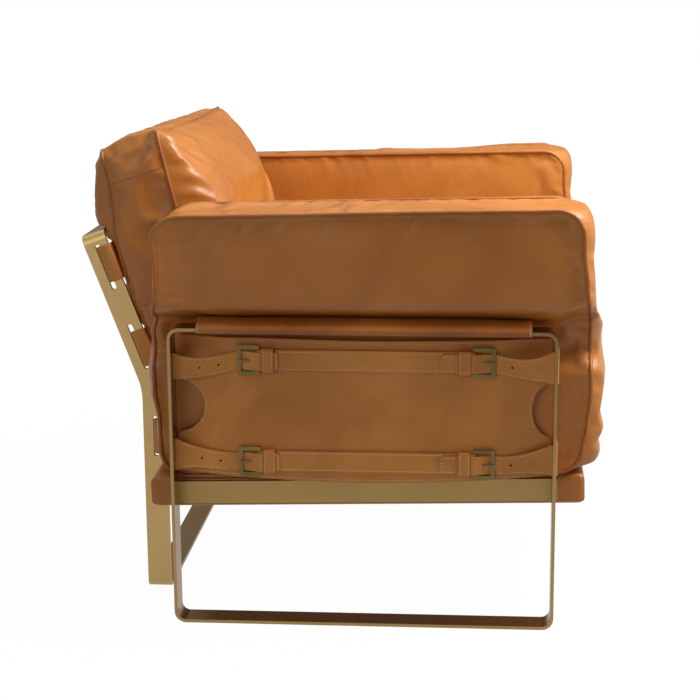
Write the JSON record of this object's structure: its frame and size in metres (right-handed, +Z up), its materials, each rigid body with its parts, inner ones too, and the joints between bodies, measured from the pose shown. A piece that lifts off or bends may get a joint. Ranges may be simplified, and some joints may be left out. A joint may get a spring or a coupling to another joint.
{
  "type": "lounge armchair",
  "caption": "Low lounge armchair with loose leather cushions on a frame of satin brass flat bar, with buckled leather side straps and slings behind the back.",
  "frame": {"origin": "middle of the chair's footprint, on the floor", "axes": "+X out of the front of the seat, +Y to the sitter's left, +Z up"},
  "size_m": [0.822, 0.882, 0.7502],
  "materials": {
    "satin_brass": "satin, brushed",
    "aged_brass": "aged, half matt",
    "zinc_plate": "zinc plated",
    "tan_leather": "semi-aniline tan leather with a low sheen",
    "strap_leather": "firm saddle leather with cut edges"
  },
  "bodies": {
    "frame": {"seat_rail_L": "satin_brass", "seat_rail_R": "satin_brass", "seat_cross_rail_rear": "satin_brass", "seat_cross_rail_front": "satin_brass", "back_cross_rail": "satin_brass", "seat_deck": "tan_leather", "deck_screw_rear_R": "zinc_plate", "deck_screw_rear_L": "zinc_plate", "deck_screw_front_R": "zinc_plate", "deck_screw_front_L": "zinc_plate", "back_rail_screw_R": "zinc_plate", "back_rail_screw_L": "zinc_plate", "back_top_bar": "satin_brass", "back_sling_upper": "strap_leather", "back_sling_middle": "strap_leather", "side_loop_L": "satin_brass", "side_loop_R": "satin_brass", "arm_sleeve_L": "strap_leather", "arm_sleeve_R": "strap_leather", "back_upright_L": "satin_brass", "back_upright_R": "satin_brass", "back_foot_bar": "satin_brass", "back_sling_lower": "strap_leather", "side_panel_L": "tan_leather", "side_panel_R": "tan_leather", "strap_upper_L": "strap_leather", "strap_upper_R": "strap_leather", "tab_upper_rear_L": "strap_leather", "tab_upper_rear_R": "strap_leather", "buckle_upper_rear_L": "aged_brass", "buckle_upper_rear_R": "aged_brass", "tab_upper_front_L": "strap_leather", "tab_upper_front_R": "strap_leather", "buckle_upper_front_L": "aged_brass", "buckle_upper_front_R": "aged_brass", "strap_lower_L": "strap_leather", "strap_lower_R": "strap_leather", "tab_lower_rear_L": "strap_leather", "tab_lower_rear_R": "strap_leather", "buckle_lower_rear_L": "aged_brass", "buckle_lower_rear_R": "aged_brass", "tab_lower_front_L": "strap_leather", "tab_lower_front_R": "strap_leather", "buckle_lower_front_L": "aged_brass", "buckle_lower_front_R": "aged_brass", "arm_cushion_L": "tan_leather", "arm_cushion_R": "tan_leather"},
    "prong_upper_rear_R_body": {"prong_upper_rear_R": "aged_brass"},
    "prong_upper_rear_L_body": {"prong_upper_rear_L": "aged_brass"},
    "prong_upper_front_R_body": {"prong_upper_front_R": "aged_brass"},
    "prong_upper_front_L_body": {"prong_upper_front_L": "aged_brass"},
    "prong_lower_rear_R_body": {"prong_lower_rear_R": "aged_brass"},
    "prong_lower_rear_L_body": {"prong_lower_rear_L": "aged_brass"},
    "prong_lower_front_R_body": {"prong_lower_front_R": "aged_brass"},
    "prong_lower_front_L_body": {"prong_lower_front_L": "aged_brass"},
    "loose_seat": {"seat_cushion": "tan_leather"},
    "loose_back": {"back_cushion": "tan_leather"}
  },
  "joints": [
    {"name": "prong_upper_rear_R_swing", "type": "hinge", "parent": "frame", "child": "prong_upper_rear_R_body", "pos_m": [-0.11493, -0.3972, 0.416], "axis": [0, 0, 1], "range_deg": [0, 95]},
    {"name": "prong_upper_rear_L_swing", "type": "hinge", "parent": "frame", "child": "prong_upper_rear_L_body", "pos_m": [-0.11493, 0.3972, 0.416], "axis": [0, 0, -1], "range_deg": [0, 95]},
    {"name": "prong_upper_front_R_swing", "type": "hinge", "parent": "frame", "child": "prong_upper_front_R_body", "pos_m": [0.21487, -0.3972, 0.416], "axis": [0, 0, -1], "range_deg": [0, 95]},
    {"name": "prong_upper_front_L_swing", "type": "hinge", "parent": "frame", "child": "prong_upper_front_L_body", "pos_m": [0.21487, 0.3972, 0.416], "axis": [0, 0, 1], "range_deg": [0, 95]},
    {"name": "prong_lower_rear_R_swing", "type": "hinge", "parent": "frame", "child": "prong_lower_rear_R_body", "pos_m": [-0.11493, -0.3972, 0.255], "axis": [0, 0, 1], "range_deg": [0, 95]},
    {"name": "prong_lower_rear_L_swing", "type": "hinge", "parent": "frame", "child": "prong_lower_rear_L_body", "pos_m": [-0.11493, 0.3972, 0.255], "axis": [0, 0, -1], "range_deg": [0, 95]},
    {"name": "prong_lower_front_R_swing", "type": "hinge", "parent": "frame", "child": "prong_lower_front_R_body", "pos_m": [0.21487, -0.3972, 0.255], "axis": [0, 0, -1], "range_deg": [0, 95]},
    {"name": "prong_lower_front_L_swing", "type": "hinge", "parent": "frame", "child": "prong_lower_front_L_body", "pos_m": [0.21487, 0.3972, 0.255], "axis": [0, 0, 1], "range_deg": [0, 95]},
    {"name": "seat_cushion_pull_out", "type": "slide", "parent": "frame", "child": "loose_seat", "axis": [0.9997, 0, 0.0253], "range_m": [0, 0.15]},
    {"name": "back_cushion_lift_out", "type": "slide", "parent": "frame", "child": "loose_back", "axis": [-0.23, 0, 0.9732], "range_m": [0, 0.2]}
  ]
}
